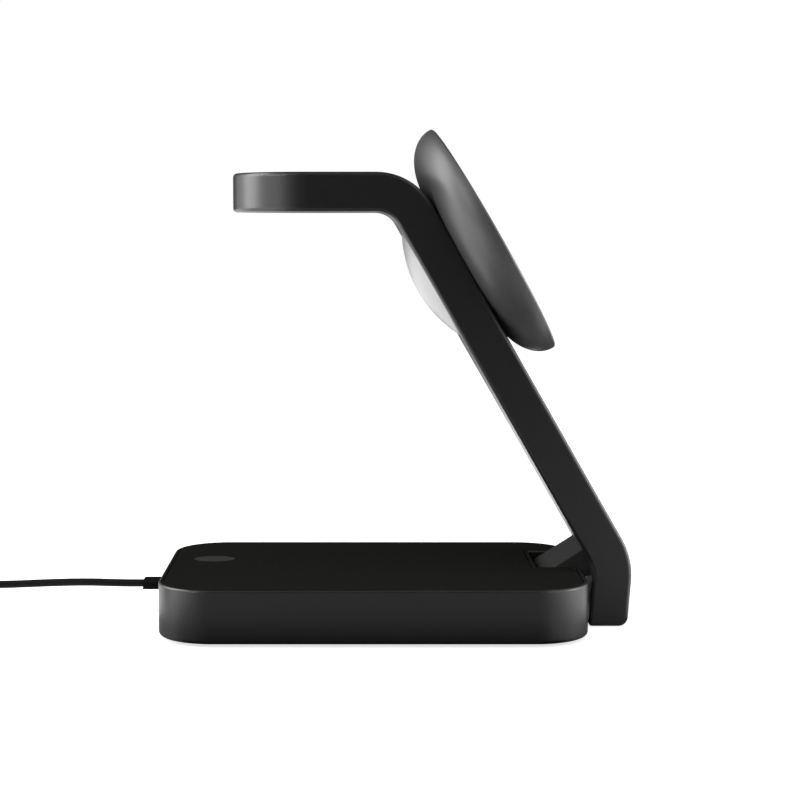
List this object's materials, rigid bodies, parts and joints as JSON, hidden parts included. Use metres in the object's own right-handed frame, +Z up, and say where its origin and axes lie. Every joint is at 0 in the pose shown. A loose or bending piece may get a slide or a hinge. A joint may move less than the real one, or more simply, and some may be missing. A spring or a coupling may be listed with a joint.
{
  "type": "three in one wireless charger",
  "caption": "Folding desk charger: flat base pad for earbuds, bent arm on a hinge, round magnetic phone pad in front, domed watch puck behind, and a captive supply cord.",
  "frame": {"origin": "middle of the base's grip sheet, on the table", "axes": "+X towards the user whom the phone faces, +Y to the user's right, +Z up"},
  "size_m": [0.2013, 0.0684, 0.1138],
  "materials": {
    "housing": "satin dark grey moulded shell",
    "panel": "matt soft-touch black panel",
    "lens": "smoked light window",
    "grip": "ribbed rubber sheet",
    "hinge_metal": "satin dark zinc casting",
    "steel": "plain steel",
    "copper": "enamelled copper winding",
    "ferrite": "sintered ferrite sheet",
    "magnet": "nickel plated magnet ring",
    "board": "green circuit board",
    "puck": "smooth white dome",
    "cord": "black cord jacket",
    "plug": "black moulded plug"
  },
  "bodies": {
    "base": {"base_shell": "housing", "top_panel": "panel", "light_lens": "lens", "bottom_cover": "housing", "grip_sheet": "grip", "earbud_coil": "copper", "earbud_shield": "ferrite", "ballast_plate": "steel", "circuit_board": "board", "cord_terminal": "plug", "hinge_pin": "steel", "hinge_cap": "housing", "hinge_washer_near": "steel", "hinge_washer_far": "steel", "cord_boot": "plug", "cord_tube": "cord", "cord_coil": "cord", "cord_tail": "cord", "supply_plug": "plug", "supply_plug_shell": "steel", "cover_screw_1": "steel", "cover_screw_2": "steel", "cover_screw_3": "steel", "cover_screw_4": "steel"},
    "arm": {"arm_shell": "housing", "arm_cover": "housing", "hinge_tongue": "hinge_metal", "pad_back": "housing", "pad_face": "panel", "magnet_ring": "magnet", "phone_coil": "copper", "phone_shield": "ferrite", "watch_puck": "puck", "watch_coil": "copper", "watch_shield": "ferrite", "tongue_screw_1": "steel", "tongue_screw_2": "steel", "pad_screw_1": "steel", "pad_screw_2": "steel"}
  },
  "joints": [
    {"name": "stand_fold", "type": "hinge", "parent": "base", "child": "arm", "pos_m": [0.0417, 0.0077, 0.0087], "axis": [0, -1, 0], "range_deg": [0, 48]}
  ]
}
